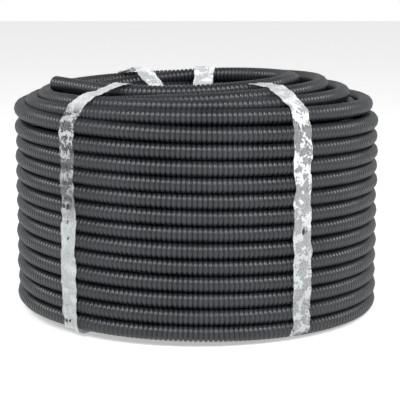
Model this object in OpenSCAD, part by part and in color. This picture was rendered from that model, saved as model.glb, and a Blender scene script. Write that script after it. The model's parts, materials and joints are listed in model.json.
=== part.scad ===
// A roll of small corrugated conduit, lying flat, tied with four loops of clear film.
// The origin is on the floor, on the roll's upright axis. The roll is seen from -Y.

/* [Conduit] */
// Outside diameter over the ribs
tube_od = 10; // [9:0.5:12]
// Clear bore
tube_bore = 7; // [5:0.1:7.2]
// Distance from one rib to the next
rib_pitch = 2.97; // [2.2:0.01:3.6]
// Width of the groove between two ribs
rib_groove = 0.55; // [0.4:0.05:1.1]
// Depth of the groove between two ribs
rib_depth = 0.9; // [0.5:0.05:1]

/* [Roll] */
// Outside diameter of the roll
roll_od = 237.8; // [225:0.1:260]
// Turns stacked in a layer, with the first loose turn on top
turns = 14; // [8:1:16]
// Height from one turn to the next
turn_pitch = 10.1; // [10.05:0.05:10.6]
// Layers from the outside to the eye
layers = 7; // [6:1:7]
// Radial distance from one layer to the next
layer_step = 9.4; // [8.8:0.1:10]

/* [Top turns] */
// Distance inward from the outer layer to the first loose turn
first_inset = 6.9; // [4:0.1:8]
// Distance inward from the first loose turn to the second
second_inset = 10.3; // [10.1:0.1:11]
// Height that the second loose turn gains on the first
top_rise = 0.8; // [0.2:0.1:1.2]
// Radius of the last turn, which lies across the turns under it
last_r = 70.5; // [69:0.5:73]
// Distance by which the last turn lies off the roll's axis, towards the left
last_shift = 8.5; // [6:0.5:9]

/* [Free end] */
// Number of ribs on the stretch that leaves the last turn
free_ribs = 15; // [12:1:16]
// Direction in which the last turn lets go, from the front towards the left
free_start_angle = 48.7; // [44:0.1:52]
// Slope at which the free end rises
free_rise = 1.5; // [1.2:0.1:4]
// Gap between the free end and the turns that it leaves
free_clearance = 0.3; // [0.2:0.05:0.5]

/* [Film straps] */
// Width of a strap
strap_w = 13; // [8:0.5:16]
// Thickness of a strap with its overlapped layers
strap_t = 0.4; // [0.2:0.05:0.8]
// Gap between a strap and the turns it holds
strap_clearance = 0.3; // [0.1:0.05:0.5]

/* [Hidden] */

eps = 0.01;
conduit_black = [0.19, 0.2, 0.22];
film_clear = [0.78, 0.8, 0.82, 0.6];

tube_r = tube_od / 2;
// The roll rests on the film that passes under it
base_z = strap_t + strap_clearance + tube_r;
outer_r = roll_od / 2 - tube_r;
inner_r = outer_r - (layers - 1) * layer_step;
eye_r = inner_r - tube_r;
// Neighbouring turns meet on a web, which lies this far outside their centres
web_offset = 0.4 * tube_r;
row_top_z = base_z + (turns - 1) * turn_pitch;

// Loose turns on top of the outer layer
first_r = outer_r - first_inset;
second_r = first_r - second_inset;
second_z = row_top_z + top_rise;

// The last turn lies across the turns under it and lets go in a straight line
last_z = row_top_z + tube_od - 0.1 * tube_r;
last_sweep = 285;
free_length = free_ribs * rib_pitch;
root_r = tube_r - rib_depth;
rib_bevel = 0.08 * rib_pitch;

// Directions are counted anticlockwise from +X, seen from above
front = -90;
strap_angles = [front - 40, front + 32, 85, 122];
free_angle = front - free_start_angle;
// Distance from the roll's axis to the last turn in the direction a
function last_reach(a) = sqrt(last_r ^ 2 - (last_shift * sin(a)) ^ 2) - last_shift * cos(a);

// Places in the roll's section: distance from the axis, then height
module turn_section(r, z) {
    translate([r, z]) circle(r = tube_r, $fn = 48);
}

// The wound roll as one turned section, with a turn's round back at every place that shows
module roll_section() {
    inner_web = inner_r - web_offset;
    outer_web = outer_r + web_offset;
    bottom_web = base_z - web_offset;
    top_web = row_top_z + web_offset;
    polygon([
        [inner_web, bottom_web], [outer_web, bottom_web], [outer_web, row_top_z - turn_pitch],
        [first_r, row_top_z], [second_r, top_web], [inner_web, top_web]
    ]);
    for (row = [1 : turns - 2])
        for (r = [inner_r, outer_r])
            turn_section(r, base_z + row * turn_pitch);
    for (layer = [0 : layers - 1])
        turn_section(outer_r - layer * layer_step, base_z);
    for (layer = [3 : layers - 1])
        turn_section(outer_r - layer * layer_step, row_top_z);
    turn_section(first_r, row_top_z);
    turn_section(second_r, second_z);
}

// Puts children round the last turn's own axis, which lies off the roll's
module about_last_turn() {
    translate([-last_shift, 0, last_z]) rotate([0, 0, free_angle]) children();
}

// The last turn, up to the place where the conduit lets go
module last_turn() {
    about_last_turn() rotate_extrude(angle = last_sweep, $fn = 180) turn_section(last_r, 0);
}

// Puts children that lie along +Z on the rising straight line of the free end
module along_free_end() {
    about_last_turn() translate([last_r, 0, 0])
        rotate([90 - free_rise, 0, 0]) translate([0, 0, free_clearance]) children();
}

module conduit_coil() {
    color(conduit_black) difference() {
        union() {
            rotate_extrude($fn = 180) roll_section();
            last_turn();
        }
        along_free_end() cylinder(h = free_length, r = tube_r + free_clearance, $fn = 48);
    }
}

// Half of one rib's outline from its groove, then its flat crest: distance from the tube's axis, then place along it
function rib_outline(i) = let (z = i * rib_pitch) [
    [root_r, z],
    [root_r, z + rib_groove / 2],
    [tube_r, z + rib_groove / 2 + rib_bevel],
    [tube_r, z + rib_pitch - rib_groove / 2 - rib_bevel],
    [root_r, z + rib_pitch - rib_groove / 2]
];

module conduit_free_end() {
    outline = [for (i = [0 : free_ribs - 1]) each rib_outline(i)];
    color(conduit_black) along_free_end() difference() {
        rotate_extrude($fn = 64)
            polygon(concat([[0, 0]], outline, [[root_r, free_length], [0, free_length]]));
        translate([0, 0, -eps]) cylinder(h = free_length + 2 * eps, d = tube_bore, $fn = 64);
    }
}

// The taut line round the roll's section in the direction a, a given distance off the turns
module taut_outline(a, gap) {
    half_w = strap_w / 2;
    eye_sag = eye_r - sqrt(eye_r * eye_r - half_w * half_w);
    in_r = inner_r - eye_sag;
    hull() for (place = [
        [in_r, base_z], [outer_r, base_z], [outer_r, row_top_z - turn_pitch], [first_r, row_top_z],
        [second_r, second_z], [last_reach(a), last_z], [in_r, row_top_z]
    ])
        translate(place) circle(r = tube_r + gap, $fn = 32);
}

// One closed loop of film round the roll's section
module strap(a) {
    color(film_clear) rotate([0, 0, a]) translate([0, strap_w / 2, 0]) rotate([90, 0, 0])
        linear_extrude(strap_w) difference() {
            taut_outline(a, strap_clearance + strap_t);
            taut_outline(a, strap_clearance);
        }
}

module strap_front_left() { strap(strap_angles[0]); }
module strap_front_right() { strap(strap_angles[1]); }
module strap_back() { strap(strap_angles[2]); }
module strap_back_left() { strap(strap_angles[3]); }

conduit_coil();
conduit_free_end();
strap_front_left();
strap_front_right();
strap_back();
strap_back_left();
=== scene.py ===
import json
import math

import bpy
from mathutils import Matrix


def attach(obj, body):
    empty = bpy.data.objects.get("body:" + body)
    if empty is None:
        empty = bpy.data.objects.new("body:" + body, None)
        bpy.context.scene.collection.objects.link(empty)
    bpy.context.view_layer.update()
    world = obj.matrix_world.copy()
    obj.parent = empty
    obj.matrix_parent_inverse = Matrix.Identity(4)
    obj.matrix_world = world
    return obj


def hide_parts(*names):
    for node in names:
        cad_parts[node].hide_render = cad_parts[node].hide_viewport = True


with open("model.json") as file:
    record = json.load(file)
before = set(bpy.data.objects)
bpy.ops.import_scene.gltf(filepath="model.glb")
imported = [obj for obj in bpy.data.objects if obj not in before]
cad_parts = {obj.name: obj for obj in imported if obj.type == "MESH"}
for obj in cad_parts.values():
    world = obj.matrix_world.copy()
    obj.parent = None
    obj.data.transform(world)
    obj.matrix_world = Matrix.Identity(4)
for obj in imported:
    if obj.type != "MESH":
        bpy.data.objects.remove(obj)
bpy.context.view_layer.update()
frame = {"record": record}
print("frame loaded")

mm = 0.001
conduit = {"radius": 5, "ribPitch": 2.97, "groove": 0.5, "bevel": 0.34, "depth": 0.9, "wall": 0.6,
           "roundness": 88}
ribSides = {"free": 28, "outer": 14, "eye": 12, "top": 12, "base": 10}
roll = {"lift": 3.4, "outerRadius": 113.9, "innerRadius": 57.5, "layerStep": 9.4, "rise": 10,
        "foot": 5.7, "topTurn": 133.6, "looseRibs": 780}


# working by script as in the viewport

def deselectAll():
    if bpy.context.mode != "OBJECT":
        bpy.ops.object.mode_set(mode="OBJECT")
    bpy.ops.object.select_all(action="DESELECT")


def pick(piece):
    deselectAll()
    piece.select_set(True)
    bpy.context.view_layer.objects.active = piece


def nameIt(name):
    piece = bpy.context.object
    piece.name = name
    piece.data.name = name
    return piece


def applyModifiers(piece):
    pick(piece)
    for modifier in list(piece.modifiers):
        bpy.ops.object.modifier_apply(modifier=modifier.name)


def applyPlace():
    bpy.ops.object.transform_apply(location=True, rotation=True, scale=True)


def editWhole():
    # edit mode with the whole mesh selected
    bpy.ops.object.mode_set(mode="EDIT")
    bpy.ops.mesh.select_all(action="SELECT")


def leaveEdit():
    bpy.ops.object.mode_set(mode="OBJECT")


def smoothUpTo(piece, degrees):
    pick(piece)
    bpy.ops.object.shade_smooth_by_angle(angle=math.radians(degrees))


def extrudeRing(x=0, y=0, z=0, scale=1):
    bpy.ops.mesh.extrude_region_move(TRANSFORM_OT_translate={"value": (x * mm, y * mm, z * mm)})
    if scale != 1:
        bpy.ops.transform.resize(value=(scale, scale, scale))


# materials: a socket that takes part in sums, and one way to make a node

class Socket:
    def __init__(self, tree, plug):
        self.tree = tree
        self.plug = plug

    def maths(self, operation, first, second):
        return node(self.tree, "ShaderNodeMath", {"operation": operation}, {0: first, 1: second})

    def __add__(self, other):
        return self.maths("ADD", self, other)

    def __radd__(self, other):
        return self.maths("ADD", other, self)

    def __mul__(self, other):
        return self.maths("MULTIPLY", self, other)

    def __rmul__(self, other):
        return self.maths("MULTIPLY", other, self)


def node(tree, kind, settings=None, inputs=None, output=0):
    made = tree.nodes.new(kind)
    for name, value in (settings or {}).items():
        if name == "stops":
            stops = made.color_ramp.elements
            while len(stops) < len(value):
                stops.new(0.5)
            for stop, (place, shade) in zip(stops, value):
                stop.position = place
                stop.color = (shade, shade, shade, 1)
        else:
            setattr(made, name, value)
    for name, value in (inputs or {}).items():
        if isinstance(value, Socket):
            tree.links.new(value.plug, made.inputs[name])
        else:
            made.inputs[name].default_value = value
    return Socket(tree, made.outputs[output] if made.outputs else None)


def newMaterial(name):
    material = bpy.data.materials.new(name)
    material.use_nodes = True
    material.node_tree.nodes.clear()
    return material, material.node_tree


def finishMaterial(tree, shader):
    node(tree, "ShaderNodeOutputMaterial", {}, {"Surface": shader})


def mixColours(tree, factor, first, second):
    mix = tree.nodes.new("ShaderNodeMix")
    mix.data_type = "RGBA"
    for plug, value in ((mix.inputs[0], factor), (mix.inputs[6], first), (mix.inputs[7], second)):
        if isinstance(value, Socket):
            tree.links.new(value.plug, plug)
        else:
            plug.default_value = value
    return Socket(tree, mix.outputs[2])


def noise(tree, place, size, detail=3, roughness=0.5):
    return node(tree, "ShaderNodeTexNoise", {}, {
        "Vector": place, "Scale": 1 / (size * mm), "Detail": detail, "Roughness": roughness})


def ramp(tree, value, stops):
    return node(tree, "ShaderNodeValToRGB", {"stops": stops}, {"Fac": value})


blackPlastic = {"colour": (0.009, 0.011, 0.014, 1), "dusty": (0.022, 0.026, 0.030, 1), "roughness": 0.27}


def makeConduitMaterial():
    material, tree = newMaterial("blackCorrugatedPlastic")
    place = node(tree, "ShaderNodeTexCoord", output=3)
    cloudy = noise(tree, place, 38, 4, 0.6)
    grain = noise(tree, place, 0.9, 3, 0.6)
    dust = ramp(tree, cloudy * 0.7 + grain * 0.3, [(0.42, 0.0), (0.68, 1.0)])
    colour = mixColours(tree, dust, blackPlastic["colour"], blackPlastic["dusty"])
    roughness = blackPlastic["roughness"] + 0.12 * cloudy + 0.06 * dust
    bump = node(tree, "ShaderNodeBump", {}, {"Strength": 0.25, "Distance": 0.05 * mm, "Height": grain})
    shader = node(tree, "ShaderNodeBsdfPrincipled", {}, {
        "Base Color": colour, "Roughness": roughness, "Normal": bump, "IOR": 1.5})
    finishMaterial(tree, shader)
    return material


clearFilm = {"tint": (0.78, 0.81, 0.82, 1), "roughness": 0.14, "height": 160}
# how hazy each strap is at heights from the foot to the top, and how much of it is crumpled, where crumple
# sets the painted glints: whitish streaks standing in for light caught on the crumples
filmLook = {
    "front_left": {"haze": [(0.0, 0.34), (0.44, 0.36), (0.53, 0.07), (0.86, 0.04), (0.895, 0.5)],
                   "crumple": [(0.0, 0.15), (0.5, 0.1), (0.78, 0.45), (0.86, 0.3), (0.9, 0.1)]},
    "front_right": {"haze": [(0.0, 0.22), (0.5, 0.26), (0.62, 0.2), (0.85, 0.12), (0.9, 0.4)],
                    "crumple": [(0.0, 0.3), (0.4, 0.4), (0.55, 0.75), (0.86, 1.0), (0.92, 0.3)]},
    "back": {"haze": [(0.0, 0.25), (0.9, 0.4)], "crumple": [(0.0, 0.3), (0.9, 0.6)]},
    "back_left": {"haze": [(0.0, 0.25), (0.9, 0.4)], "crumple": [(0.0, 0.3), (0.9, 0.6)]},
}


def makeFilmMaterial(name, look):
    material, tree = newMaterial("clearFilm_" + name)
    place = node(tree, "ShaderNodeTexCoord", output=3)
    height = node(tree, "ShaderNodeSeparateXYZ", {}, {0: place}, output=2) * (1 / (clearFilm["height"] * mm))
    folds = noise(tree, place, 6, 4, 0.62)
    fine = noise(tree, place, 1.3, 3, 0.6)
    # painted glints: sharp whitish streaks, made opaque through the alpha, stand in for light caught on
    # crumpled film
    paintedGlints = ramp(tree, folds * 0.75 + fine * 0.25, [(0.515, 0.0), (0.545, 1.0)])
    veil = ramp(tree, height, look["haze"]) * (0.7 + 0.6 * fine)
    # the crumple ramp sets how strong the painted glints are at each height
    alpha = veil + 0.8 * paintedGlints * ramp(tree, height, look["crumple"])
    bump = node(tree, "ShaderNodeBump", {}, {
        "Strength": 0.7, "Distance": 0.5 * mm, "Height": folds + 0.3 * fine})
    shader = node(tree, "ShaderNodeBsdfPrincipled", {}, {
        "Base Color": clearFilm["tint"], "Roughness": clearFilm["roughness"], "IOR": 1.5,
        "Alpha": alpha, "Normal": bump})
    finishMaterial(tree, shader)
    return material


# routes: places on the middle line of the conduit, in millimetres

def smooth(t):
    t = min(1, max(0, t))
    return t * t * (3 - 2 * t)


def between(keys, u):
    # a smooth curve through keys of turn and value
    count = len(keys)
    k = max(0, min(count - 2, next((i for i in range(count - 1) if u < keys[i + 1][0]), count - 2)))
    (u1, v1), (u2, v2) = keys[k], keys[k + 1]
    u0, v0 = keys[max(0, k - 1)]
    u3, v3 = keys[min(count - 1, k + 2)]
    slopeIn = (v2 - v0) / (u2 - u0)
    slopeOut = (v3 - v1) / (u3 - u1)
    t = (u - u1) / (u2 - u1)
    span = u2 - u1
    return ((2 * t**3 - 3 * t**2 + 1) * v1 + (t**3 - 2 * t**2 + t) * span * slopeIn
            + (-2 * t**3 + 3 * t**2) * v2 + (t**3 - t**2) * span * slopeOut)


def around(turn, radius, height):
    # turns count from the front towards the left, seen from above clockwise
    angle = -math.pi / 2 - 2 * math.pi * turn
    return (radius * math.cos(angle), radius * math.sin(angle), height)


bore = next(m for m in frame["record"]["mounts"] if m["name"] == "free_end_bore")
mouth = [v / mm for v in bore["pos_m"]]
freeDirection = bore["axis"]
freeRibs = round(bore["dims"]["length_mm"] / conduit["ribPitch"])
freeLength = freeRibs * conduit["ribPitch"]
freeStart = [m - d * freeLength for m, d in zip(mouth, freeDirection)]

# the loose turns on top: turn, then radius and height in millimetres above the lowest turn's underside
looseRadius = [(11.75, 113.9), (12.0, 113.9), (12.25, 114.3), (12.5, 113.0), (12.75, 110.3), (13.0, 110.6),
               (13.25, 106.5), (13.5, 101.0), (13.75, 95.0), (14.0, 101.8), (14.25, 98.0), (14.5, 89.0),
               (14.75, 80.7), (15.0, 92.5), (15.2, 86.5), (15.32, 82.0), (15.5, 72.0), (15.75, 62.5)]
looseHeight = [(11.75, 120.6), (12.0, 123.8), (12.25, 128.9), (12.5, 130.2), (12.75, 131.2), (13.0, 133.4),
               (13.25, 133.0), (13.5, 135.6), (13.75, 138.2), (14.0, 138.4), (14.25, 137.2), (14.5, 140.6),
               (14.75, 143.9), (15.0, 141.0), (15.2, 133.5), (15.32, 134.5), (15.5, 142.5), (15.75, 145.6)]
lastTurn = {"radius": 70.5, "shift": 8.5, "sag": 3.2}
# turns at which the outer layer starts on the floor, goes over into the loose turns,
# and they into the last turn
outerStart, looseStart, looseFull, joinTurn = -0.62, 11.75, 12.0, 15.75


def outerPlace(u):
    inward = smooth((-u - 0.3) / 0.3)
    sway = 0.2 + 0.7 * smooth(u / 3)
    radius = roll["outerRadius"] + 0.25 * math.sin(9.1 * u) + 0.15 * math.sin(23.7 * u + 1)
    height = 5 + roll["rise"] * u + sway * math.sin(2 * math.pi * u) + 0.1 * math.sin(17.3 * u)
    height -= 1.3 * smooth((u - 5) / 7)
    return around(u, radius - roll["layerStep"] * inward, max(roll["foot"], roll["lift"] + height))


def loosePlace(u):
    return around(u, between(looseRadius, u), roll["lift"] + between(looseHeight, u))


def woundRoute():
    # the visible length from the free end down to the foot of the outer layer
    places = []
    radius = math.hypot(freeStart[0] + lastTurn["shift"], freeStart[1])
    start = math.atan2(freeStart[1], freeStart[0] + lastTurn["shift"])
    turnStep = 1 / 120
    degreeStep = 3
    angle = start
    while True:
        x = radius * math.cos(angle) - lastTurn["shift"]
        y = radius * math.sin(angle)
        turn = 16 - (math.degrees(math.atan2(y, x)) + 90) / 360
        if turn < joinTurn:
            break
        blend = smooth((turn - joinTurn) / 0.12)
        xyz = loosePlace(turn)
        height = freeStart[2] + lastTurn["sag"] * smooth((16.1 - turn) / 0.3)
        places.append(tuple(a * blend + b * (1 - blend) for a, b in zip((x, y, height), xyz)))
        angle += math.radians(degreeStep)
    u = joinTurn
    while u > looseFull:
        places.append(loosePlace(u))
        u -= turnStep
    while u > outerStart:
        blend = smooth((looseFull - u) / (looseFull - looseStart))
        high = loosePlace(max(u, looseStart))
        places.append(tuple(a * blend + b * (1 - blend) for a, b in zip(outerPlace(u), high)))
        u -= turnStep
    return places


def spiralRoute(firstRadius, lastRadius, height, turns, startTurn=0.0):
    count = int(turns * 100)
    places = []
    for step in range(count + 1):
        t = step / count
        radius = firstRadius + (lastRadius - firstRadius) * t
        places.append(around(startTurn + turns * t, radius, height(t)))
    return places


def topHeight(t):
    # the layers' top turns, which lie lower under the loose ones, and lowest at the left
    left = 0.5 + 0.5 * math.sin(2 * math.pi * (5 * t + 0.3))
    return roll["lift"] + roll["topTurn"] - (4.6 + 4.0 * left) * smooth((t - 0.1) / 0.12)


# a ribbed length: one rib is modelled, repeated and laid along its route

def ribbedLength(name, sides, ribs):
    groove = conduit["radius"] - conduit["depth"]
    crest = conduit["ribPitch"] - conduit["groove"] - 2 * conduit["bevel"]
    bpy.ops.mesh.primitive_circle_add(vertices=sides, radius=groove * mm, rotation=(0, math.pi / 2, 0))
    piece = nameIt(name)
    applyPlace()
    editWhole()
    extrudeRing(x=conduit["groove"])
    extrudeRing(x=conduit["bevel"], scale=conduit["radius"] / groove)
    extrudeRing(x=crest)
    extrudeRing(x=conduit["bevel"], scale=groove / conduit["radius"])
    leaveEdit()
    row = piece.modifiers.new("ribs", "ARRAY")
    row.use_relative_offset = False
    row.use_constant_offset = True
    row.constant_offset_displace = (conduit["ribPitch"] * mm, 0, 0)
    row.count = ribs
    row.use_merge_vertices = True
    row.merge_threshold = 0.01 * mm
    applyModifiers(piece)
    return piece


def faceOutwards(piece):
    pick(piece)
    editWhole()
    bpy.ops.mesh.normals_make_consistent(inside=False)
    leaveEdit()


def closeEnds(piece):
    pick(piece)
    editWhole()
    bpy.ops.mesh.fill_holes(sides=0)
    leaveEdit()


def layAlong(piece, places, loop=False):
    # bends a straight piece along an open route, or round a flat closed loop
    data = bpy.data.curves.new(piece.name + "Route", "CURVE")
    data.dimensions = "2D" if loop else "3D"
    if not loop:
        data.twist_mode = "Z_UP"
    data.use_deform_bounds = False
    spline = data.splines.new("POLY")
    spline.points.add(len(places) - 1)
    for point, (x, y, z) in zip(spline.points, places):
        point.co = (x * mm, y * mm, z * mm, 1)
    spline.use_cyclic_u = loop
    route = bpy.data.objects.new(data.name, data)
    bpy.context.collection.objects.link(route)
    bend = piece.modifiers.new("route", "CURVE")
    bend.object = route
    bend.deform_axis = "POS_X"
    applyModifiers(piece)
    bpy.data.objects.remove(route)
    bpy.data.curves.remove(data)


def measured(places):
    far = [0.0]
    for a, b in zip(places, places[1:]):
        far.append(far[-1] + math.dist(a, b))
    return far


def stretchOf(places, far, start, end):
    # the part of a route between two distances along it
    def at(distance):
        k = next(i for i in range(1, len(far)) if far[i] >= distance)
        t = (distance - far[k - 1]) / (far[k] - far[k - 1])
        return tuple(a + (b - a) * t for a, b in zip(places[k - 1], places[k]))
    inside = [p for p, d in zip(places, far) if start + 0.2 < d < end - 0.2]
    return [at(start)] + inside + [at(end)]


def dress(piece, material, slot, *nodes):
    piece.data.materials.clear()
    piece.data.materials.append(material)
    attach(piece, "root")
    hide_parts(*nodes)


def ribbedPiece(name, places, sides, start=0, ribs=None):
    far = measured(places)
    pitch = conduit["ribPitch"]
    ribs = ribs or int((far[-1] - start) / pitch)
    piece = ribbedLength(name, sides, ribs)
    closeEnds(piece)
    layAlong(piece, stretchOf(places, far, start, start + ribs * pitch))
    faceOutwards(piece)
    smoothUpTo(piece, conduit["roundness"])
    print(name, "has", ribs, "ribs")
    return piece, start + ribs * pitch


def makeFreeEnd():
    piece = ribbedLength("freeEnd", ribSides["free"], freeRibs)
    faceOutwards(piece)
    wall = piece.modifiers.new("wall", "SOLIDIFY")
    wall.thickness = conduit["wall"] * mm
    wall.offset = -1
    applyModifiers(piece)
    layAlong(piece, [tuple(s + d * t * freeLength for s, d in zip(freeStart, freeDirection))
                     for t in (0, 0.5, 1)])
    smoothUpTo(piece, conduit["roundness"])
    return piece


hidden = {"low": 4, "high": 121, "outside": 110, "inside": 62, "sides": 128, "roundness": 30}


def makeInnerTurns():
    # what shows darkly between the turns
    height = hidden["high"] - hidden["low"]
    bpy.ops.mesh.primitive_circle_add(vertices=hidden["sides"], radius=hidden["outside"] * mm,
                                      location=(0, 0, hidden["low"] * mm))
    piece = nameIt("innerTurns")
    applyPlace()
    editWhole()
    extrudeRing(z=height)
    extrudeRing(scale=hidden["inside"] / hidden["outside"])
    extrudeRing(z=-height)
    bpy.ops.mesh.select_all(action="DESELECT")
    bpy.ops.mesh.select_non_manifold()
    bpy.ops.mesh.bridge_edge_loops()
    leaveEdit()
    faceOutwards(piece)
    smoothUpTo(piece, hidden["roundness"])
    return piece


# straps

straps = {"width": 13, "film": 0.12, "gap": 0.35, "across": 12, "step": 1.3, "roundness": 50,
          "front_left": -130, "front_right": -58, "back": 85, "back_left": 122,
          "askew": "film_front_left", "slant": 5.5, "slantRadius": 119}
# how the film is pushed about: size of the lumps, how far, where its middle lies, and which way
filmPush = {"crumple": (6, 1.1, 0.25, "NORMAL"), "fine": (2.2, 0.45, 0.25, "NORMAL"),
            "edge": (16, 2.4, 0.5, "X"), "edgeToo": (17, 2.4, 0.5, "Y")}


def hullOf(points):
    points = sorted(set(points))
    def half(line):
        chain = []
        for p in line:
            while len(chain) > 1 and ((chain[-1][0] - chain[-2][0]) * (p[1] - chain[-2][1])
                                      - (chain[-1][1] - chain[-2][1]) * (p[0] - chain[-2][0])) <= 0:
                chain.pop()
            chain.append(p)
        return chain[:-1]
    return half(points) + half(reversed(points))


def turnsUnder(azimuth):
    # distance and height of each turn that the film is stretched over
    turn = ((-90 - azimuth) / 360) % 1
    places = [(roll["innerRadius"], roll["lift"] + 5), (roll["outerRadius"], roll["lift"] + 5),
              (roll["innerRadius"], roll["lift"] + roll["topTurn"])]
    for u in (10 + turn, 11 + turn):
        places.append((roll["outerRadius"], outerPlace(u)[2]))
    for k in (11, 12, 13, 14, 15):
        u = k + turn
        if looseStart < u < joinTurn:
            x, y, z = loosePlace(u)
            places.append((math.hypot(x, y), z))
    if not 130 < azimuth % 360 < 217:
        s = lastTurn["shift"]
        a = math.radians(azimuth)
        reach = math.sqrt(lastTurn["radius"]**2 - (s * math.sin(a))**2) - s * math.cos(a)
        places.append((reach, freeStart[2]))
    return places


def tautLoop(azimuth):
    points = []
    reach = conduit["radius"] + straps["gap"]
    for r, z in turnsUnder(azimuth):
        for k in range(48):
            angle = 2 * math.pi * k / 48
            points.append((round(r + reach * math.cos(angle), 3), round(z + reach * math.sin(angle), 3)))
    return hullOf(points)


def makeStrap(name, azimuth):
    loop = tautLoop(azimuth)
    length = sum(math.dist(a, b) for a, b in zip(loop, loop[1:] + loop[:1]))
    along = int(length / straps["step"])
    bpy.ops.mesh.primitive_grid_add(x_subdivisions=along, y_subdivisions=straps["across"], size=1)
    piece = nameIt(name)
    piece.scale = (length * mm, straps["width"] * mm, 1)
    piece.location = (length * mm / 2, 0, 0)
    applyPlace()
    bpy.ops.transform.rotate(value=-math.pi / 2, orient_axis="X", center_override=(0, 0, 0))
    applyPlace()
    layAlong(piece, [(r, z, 0) for r, z in loop], loop=True)
    editWhole()
    bpy.ops.mesh.remove_doubles(threshold=0.2 * mm)
    bpy.ops.mesh.normals_make_consistent(inside=False)
    leaveEdit()
    piece.rotation_euler = (math.pi / 2, 0, math.radians(azimuth))
    applyPlace()
    for label, (size, strength, middle, direction) in filmPush.items():
        texture = bpy.data.textures.new(name + label, "CLOUDS")
        texture.noise_scale = size * mm
        texture.noise_depth = 2
        texture.contrast = 1.6
        push = piece.modifiers.new(label, "DISPLACE")
        push.texture = texture
        push.texture_coords = "LOCAL"
        push.strength = strength * mm
        push.mid_level = middle
        push.direction = direction
    if name == straps["askew"]:
        # this strap runs a little askew over the top
        pivot = around((-90 - azimuth) / 360, straps["slantRadius"], 0)
        bpy.ops.transform.rotate(value=math.radians(straps["slant"]), orient_axis="Z",
                                 center_override=(pivot[0] * mm, pivot[1] * mm, 0))
        applyPlace()
    wall = piece.modifiers.new("film", "SOLIDIFY")
    wall.thickness = straps["film"] * mm
    wall.offset = 1
    applyModifiers(piece)
    smoothUpTo(piece, straps["roundness"])
    return piece


black = makeConduitMaterial()

freeEnd = makeFreeEnd()
dress(freeEnd, black, "conduit", "conduit_free_end")
print("free end made")

wound = woundRoute()
looseTurns, cut = ribbedPiece("looseTurns", wound, ribSides["outer"], 0, roll["looseRibs"])
dress(looseTurns, black, "conduit", "conduit_coil")
restLength = measured(wound)[-1] - cut
half = int(restLength / conduit["ribPitch"] / 2)
outerUpper, cut = ribbedPiece("outerTurnsUpper", wound, ribSides["outer"], cut, half)
dress(outerUpper, black, "conduit", "conduit_coil")
outerLower, cut = ribbedPiece("outerTurnsLower", wound, ribSides["outer"], cut)
dress(outerLower, black, "conduit", "conduit_coil")

eyeRise = roll["lift"] + roll["topTurn"] - roll["foot"]
eyeRoute = spiralRoute(roll["innerRadius"], roll["innerRadius"],
                       lambda t: roll["foot"] + eyeRise * t, 13.0, 0.3)
eyeTurns, _ = ribbedPiece("eyeTurns", eyeRoute, ribSides["eye"])
dress(eyeTurns, black, "conduit", "conduit_coil")
topRoute = spiralRoute(66.9, 104.5, topHeight, 5.0, 0.3)
topTurns, _ = ribbedPiece("topTurns", topRoute, ribSides["top"])
dress(topTurns, black, "conduit", "conduit_coil")
baseRoute = spiralRoute(66.9, 104.0, lambda t: roll["foot"], 4.6)
baseTurns, _ = ribbedPiece("baseTurns", baseRoute, ribSides["base"])
dress(baseTurns, black, "conduit", "conduit_coil")
innerTurns = makeInnerTurns()
dress(innerTurns, black, "conduit", "conduit_coil")
print("roll made")

for place, look in filmLook.items():
    strap = makeStrap("film_" + place, straps[place])
    dress(strap, makeFilmMaterial(place, look), "film", "strap_" + place)
print("straps made")

# studio

studio = {"softboxLevel": 15.0, "softboxSize": 0.7, "distance": 1.5, "side": 36, "elevation": 40,
          "floor": 0.86, "floorSize": 8, "floorSeen": 0.45, "floorMirrored": 0.3, "plain": 0.42}


def makeFloor():
    bpy.ops.mesh.primitive_plane_add(size=studio["floorSize"], location=(0, 0, 0))
    floor = nameIt("floor")
    material, tree = newMaterial("paleFloor")
    ray = node(tree, "ShaderNodeLightPath")
    seen = Socket(tree, ray.plug.node.outputs["Is Camera Ray"])
    glossy = Socket(tree, ray.plug.node.outputs["Is Glossy Ray"])
    through = Socket(tree, ray.plug.node.outputs["Is Transmission Ray"])
    level = seen * studio["floorSeen"] + glossy * studio["floorMirrored"] + through * studio["floorMirrored"]
    shader = node(tree, "ShaderNodeBsdfPrincipled", {}, {
        "Base Color": (studio["floor"], studio["floor"], studio["floor"], 1), "Roughness": 0.9,
        "Emission Color": (1, 1, 1, 1), "Emission Strength": level})
    finishMaterial(tree, shader)
    floor.data.materials.append(material)


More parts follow.
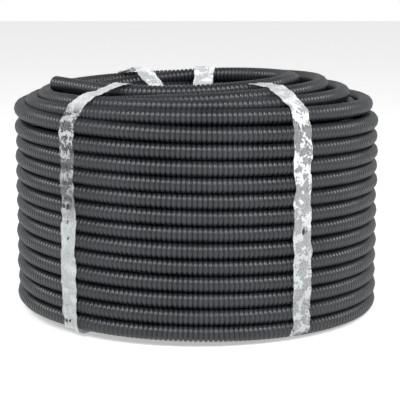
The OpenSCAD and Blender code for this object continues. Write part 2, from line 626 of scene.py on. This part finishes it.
def makeWorld():
    world = bpy.data.worlds.new("studio")
    bpy.context.scene.world = world
    world.use_nodes = True
    tree = world.node_tree
    tree.nodes.clear()
    ray = node(tree, "ShaderNodeLightPath")
    seen = Socket(tree, ray.plug.node.outputs["Is Camera Ray"])
    through = Socket(tree, ray.plug.node.outputs["Is Transmission Ray"])
    glossy = Socket(tree, ray.plug.node.outputs["Is Glossy Ray"])
    place = node(tree, "ShaderNodeTexCoord", output=0)
    up = node(tree, "ShaderNodeSeparateXYZ", {}, {0: place}, output=2)
    sky = ramp(tree, up, [(0.0, 1.0), (0.35, 0.8), (0.75, 0.25)])
    plain = node(tree, "ShaderNodeBackground", {}, {"Color": (1, 1, 1, 1), "Strength": studio["plain"]})
    white = node(tree, "ShaderNodeBackground", {}, {"Color": (1, 1, 1, 1), "Strength": 1.0})
    mirrored = node(tree, "ShaderNodeBackground", {}, {"Color": sky, "Strength": 1.0})
    first = node(tree, "ShaderNodeMixShader", {}, {0: glossy, 1: plain, 2: mirrored})
    last = node(tree, "ShaderNodeMixShader", {}, {0: seen + through, 1: first, 2: white})
    node(tree, "ShaderNodeOutputWorld", {}, {"Surface": last})


def addSoftbox(name, azimuth, elevation, power, size):
    a, e = math.radians(azimuth - 90), math.radians(elevation)
    distance = studio["distance"]
    place = (distance * math.cos(e) * math.cos(a), distance * math.cos(e) * math.sin(a),
             distance * math.sin(e) + 0.07)
    bpy.ops.object.light_add(type="AREA", location=place)
    lamp = nameIt(name)
    lamp.rotation_euler = (math.pi / 2 - e, 0, a + math.pi / 2)
    lamp.data.shape = "RECTANGLE"
    lamp.data.size = size
    lamp.data.size_y = size * 0.8
    lamp.data.energy = power


makeFloor()
makeWorld()
for side, azimuth in (("Left", -studio["side"]), ("Right", studio["side"])):
    addSoftbox("softbox" + side, azimuth, studio["elevation"], studio["softboxLevel"], studio["softboxSize"])

view = {"distance": 0.928, "height": 0.2307, "tilt": 9.887, "lens": 127.31, "aside": 0.0022}
bpy.ops.object.camera_add(location=(view["aside"], -view["distance"], view["height"]),
                          rotation=(math.radians(90 - view["tilt"]), 0, 0))
camera = nameIt("camera")
camera.data.lens = view["lens"]
camera.data.sensor_width = 36
bpy.context.scene.camera = camera
bpy.context.scene.view_settings.view_transform = "Standard"
print("studio made")
